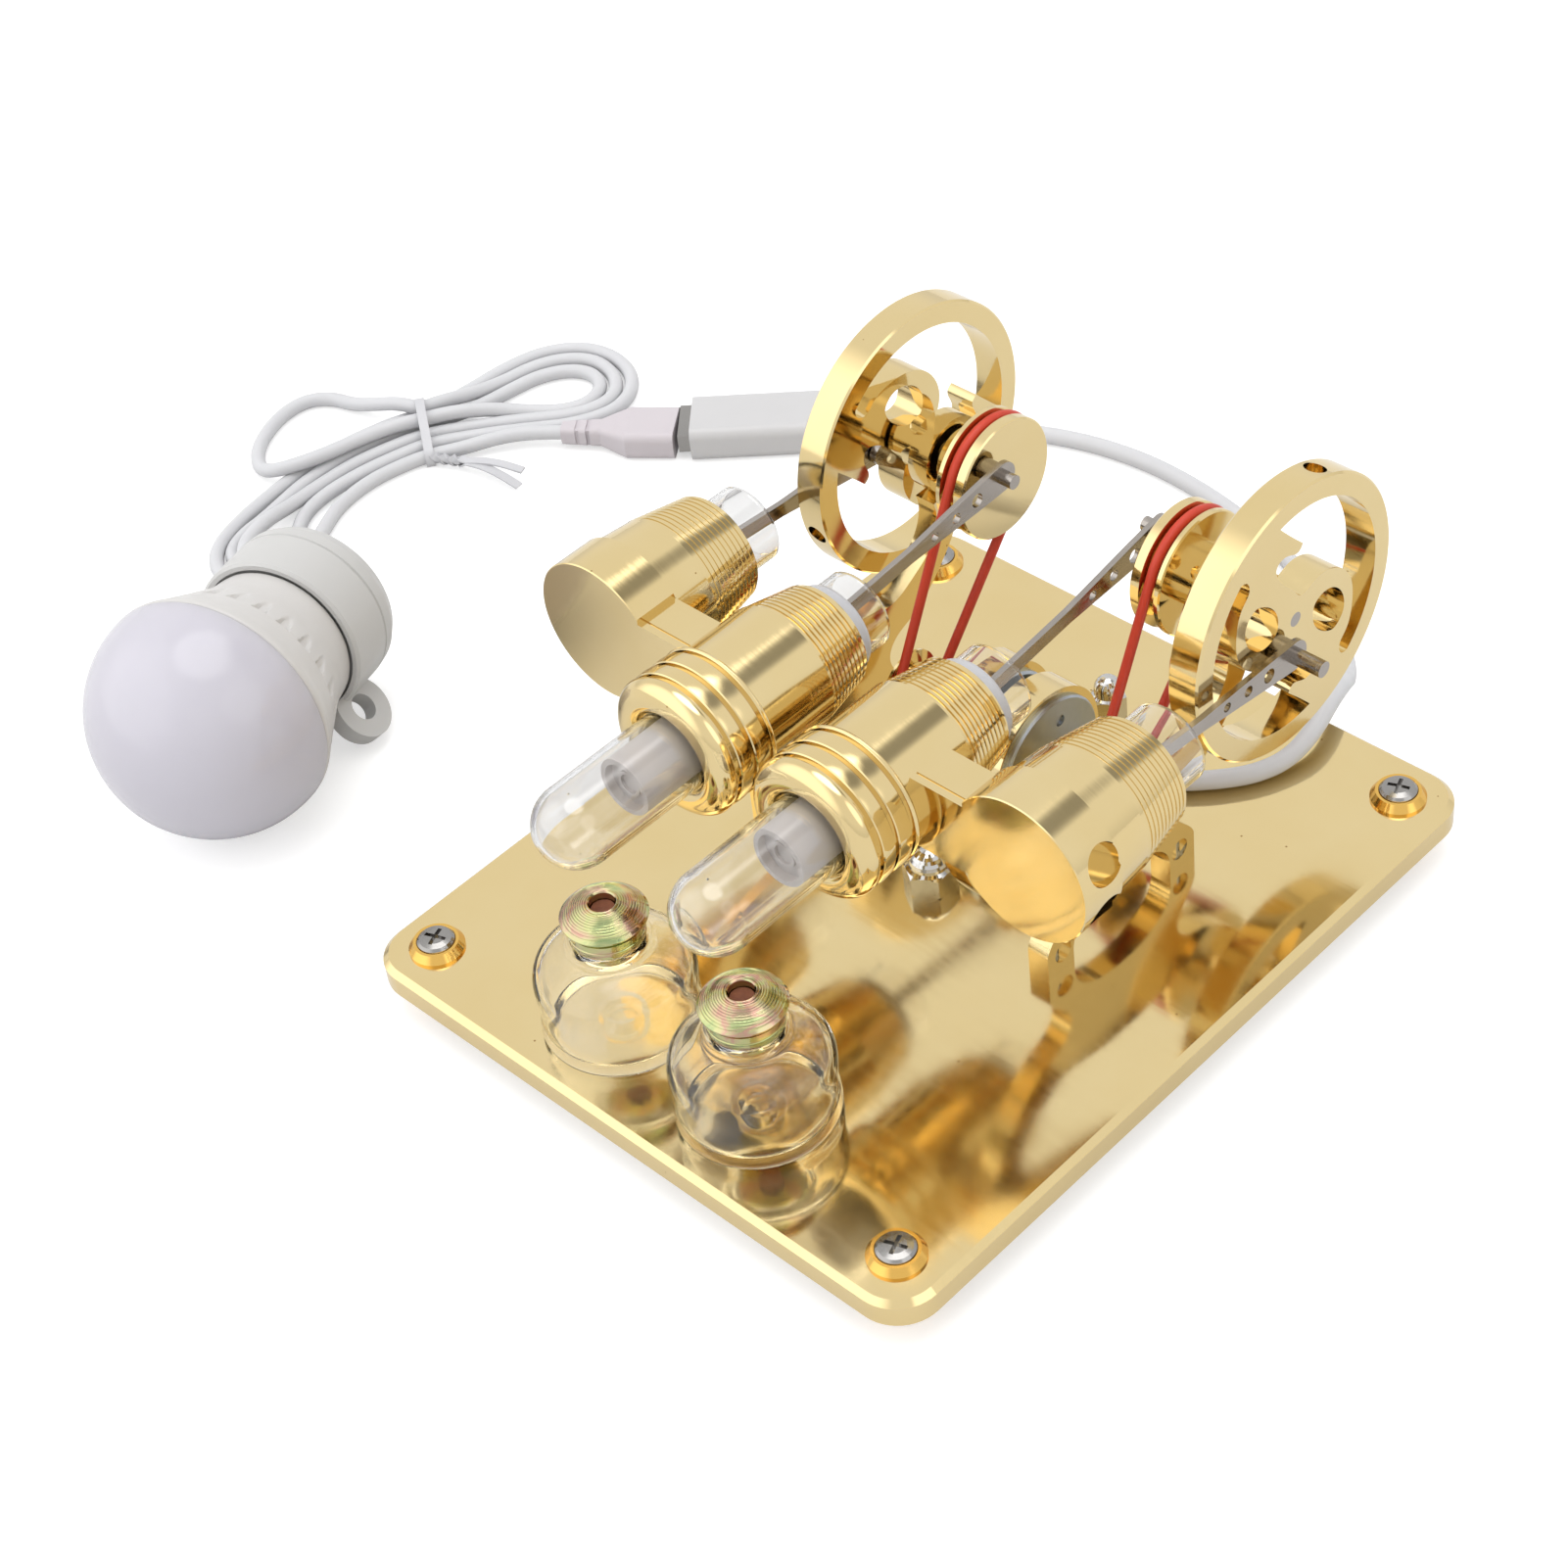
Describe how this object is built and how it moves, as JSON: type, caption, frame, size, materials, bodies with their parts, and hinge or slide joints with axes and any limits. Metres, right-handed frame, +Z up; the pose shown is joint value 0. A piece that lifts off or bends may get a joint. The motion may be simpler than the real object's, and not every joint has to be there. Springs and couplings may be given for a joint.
{
  "type": "stirling engine model",
  "caption": "Hot-air engine model: mirrored glass-ended cylinders on a plate, flywheels belted to generators, spirit lamps, and a plug-in bulb on a corded holder.",
  "frame": {"origin": "centre of the underside of the front right foot, on the surface that the feet stand on; the middle of the base plate is at (-0.060, 0.0728)", "axes": "+Z up; +X along the front edge to the right; +Y from the lamps towards the flywheels, parallel to the cylinder axes"},
  "size_m": [0.306, 0.2293, 0.0949],
  "materials": {
    "gold": "polished gold plated",
    "gold_satin": "polished gold plated, turned",
    "steel": "stainless, brushed",
    "bright_steel": "nickel plated",
    "dark_steel": "ground steel",
    "motor_steel": "zinc plated, smooth",
    "glass": "clear borosilicate",
    "white_displacer": "translucent white",
    "ring_plastic": "light grey",
    "belt_rubber": "red silicone",
    "chromate": "yellow chromate plated, turned",
    "wick": "braided cotton",
    "bulb_diffuser": "frosted",
    "white_plastic": "glossy white",
    "holder_plastic": "glossy white",
    "cable": "soft white sheath"
  },
  "bodies": {
    "frame": {"base_plate": "gold", "feet": "gold_satin", "cup_washers": "gold_satin", "plate_screws": "bright_steel", "plate_nuts": "bright_steel", "bearings": "bright_steel", "transfer_blocks": "gold", "hot_tubes": "glass", "guide_tubes": "glass", "guide_rings": "ring_plastic", "power_sleeves": "glass", "belts": "belt_rubber", "generator_cans": "motor_steel", "generator_holders": "gold", "side_plate_left": "gold", "side_plate_right": "gold", "displacer_cylinder_left": "gold_satin", "displacer_cylinder_right": "gold_satin", "power_cylinder_left": "gold_satin", "power_cylinder_right": "gold_satin", "lamp_holder": "holder_plastic", "lamp_cord": "cable", "lamp_cord_hank": "cable", "twist_tie": "cable", "usb_plug": "white_plastic", "usb_plug_shell": "bright_steel", "usb_socket": "holder_plastic", "lead_cord": "cable"},
    "bulb": {"bulb_globe": "bulb_diffuser", "bulb_housing": "white_plastic"},
    "wheel_left": {"flywheel_left": "gold", "axle_left": "dark_steel", "crank_pulley_left": "gold_satin", "crank_spacers_left": "dark_steel"},
    "generator_rotor_left": {"generator_rotor_left": "gold_satin"},
    "displacer_left": {"displacer_left": "white_displacer", "displacer_shaft_left": "steel"},
    "displacer_rod_left": {"displacer_rod_left": "steel", "displacer_crank_pin_left": "bright_steel"},
    "power_piston_left": {"power_piston_left": "steel"},
    "power_rod_left": {"power_rod_left": "steel", "power_crank_pin_left": "bright_steel"},
    "lamp_left": {"lamp_jar_left": "glass"},
    "lamp_cap_left": {"lamp_cap_left": "chromate", "lamp_wick_left": "wick"},
    "wheel_right": {"flywheel_right": "gold", "axle_right": "dark_steel", "crank_pulley_right": "gold_satin", "crank_spacers_right": "dark_steel"},
    "generator_rotor_right": {"generator_rotor_right": "gold_satin"},
    "displacer_right": {"displacer_right": "white_displacer", "displacer_shaft_right": "steel"},
    "displacer_rod_right": {"displacer_rod_right": "steel", "displacer_crank_pin_right": "bright_steel"},
    "power_piston_right": {"power_piston_right": "steel"},
    "power_rod_right": {"power_rod_right": "steel", "power_crank_pin_right": "bright_steel"},
    "lamp_right": {"lamp_jar_right": "glass"},
    "lamp_cap_right": {"lamp_cap_right": "chromate", "lamp_wick_right": "wick"}
  },
  "joints": [
    {"name": "wheel_left_spin", "type": "hinge", "parent": "frame", "child": "wheel_left", "pos_m": [-0.0944, 0.1265, 0.066], "axis": [1, 0, 0], "continuous": true},
    {"name": "generator_left_spin", "type": "hinge", "parent": "frame", "child": "generator_rotor_left", "pos_m": [-0.0846, 0.1012, 0.0278], "axis": [1, 0, 0], "continuous": true},
    {"name": "displacer_left_slide", "type": "slide", "parent": "frame", "child": "displacer_left", "axis": [0, 1, 0], "range_m": [-0.00225, 0.00975]},
    {"name": "displacer_rod_left_swing", "type": "hinge", "parent": "displacer_left", "child": "displacer_rod_left", "pos_m": [-0.0778, 0.06675, 0.066], "axis": [1, 0, 0], "range_deg": [-10.79, 1.51]},
    {"name": "power_piston_left_slide", "type": "slide", "parent": "frame", "child": "power_piston_left", "axis": [0, 1, 0], "range_m": [-0.00193, 0.01007]},
    {"name": "power_rod_left_swing", "type": "hinge", "parent": "power_piston_left", "child": "power_rod_left", "pos_m": [-0.1118, 0.07043, 0.066], "axis": [1, 0, 0], "range_deg": [-1.95, 11.31]},
    {"name": "lamp_left_draw_out", "type": "slide", "parent": "frame", "child": "lamp_left", "axis": [0, -1, 0], "range_m": [0, 0.04]},
    {"name": "lamp_cap_left_lift", "type": "slide", "parent": "lamp_left", "child": "lamp_cap_left", "axis": [0, 0, 1], "range_m": [0, 0.012]},
    {"name": "wheel_right_spin", "type": "hinge", "parent": "frame", "child": "wheel_right", "pos_m": [-0.0256, 0.1265, 0.066], "axis": [1, 0, 0], "continuous": true},
    {"name": "generator_right_spin", "type": "hinge", "parent": "frame", "child": "generator_rotor_right", "pos_m": [-0.0354, 0.1012, 0.0278], "axis": [1, 0, 0], "continuous": true},
    {"name": "displacer_right_slide", "type": "slide", "parent": "frame", "child": "displacer_right", "axis": [0, 1, 0], "range_m": [-0.00611, 0.00589]},
    {"name": "displacer_rod_right_swing", "type": "hinge", "parent": "displacer_right", "child": "displacer_rod_right", "pos_m": [-0.0422, 0.07061, 0.066], "axis": [1, 0, 0], "range_deg": [-12.3, 0]},
    {"name": "power_piston_right_slide", "type": "slide", "parent": "frame", "child": "power_piston_right", "axis": [0, 1, 0], "range_m": [-0.00226, 0.00974]},
    {"name": "power_rod_right_swing", "type": "hinge", "parent": "power_piston_right", "child": "power_rod_right", "pos_m": [-0.0082, 0.07076, 0.066], "axis": [1, 0, 0], "range_deg": [-1.63, 11.62]},
    {"name": "lamp_right_draw_out", "type": "slide", "parent": "frame", "child": "lamp_right", "axis": [0, -1, 0], "range_m": [0, 0.04]},
    {"name": "lamp_cap_right_lift", "type": "slide", "parent": "lamp_right", "child": "lamp_cap_right", "axis": [0, 0, 1], "range_m": [0, 0.012]},
    {"name": "bulb_pull", "type": "slide", "parent": "frame", "child": "bulb", "axis": [0.3515, -0.9303, 0.1045], "range_m": [0, 0.03]}
  ],
  "couplings": [
    {"joint": "generator_left_spin", "follows": "wheel_left_spin", "ratio": 1.8889},
    {"joint": "generator_right_spin", "follows": "wheel_right_spin", "ratio": 1.8889}
  ]
}
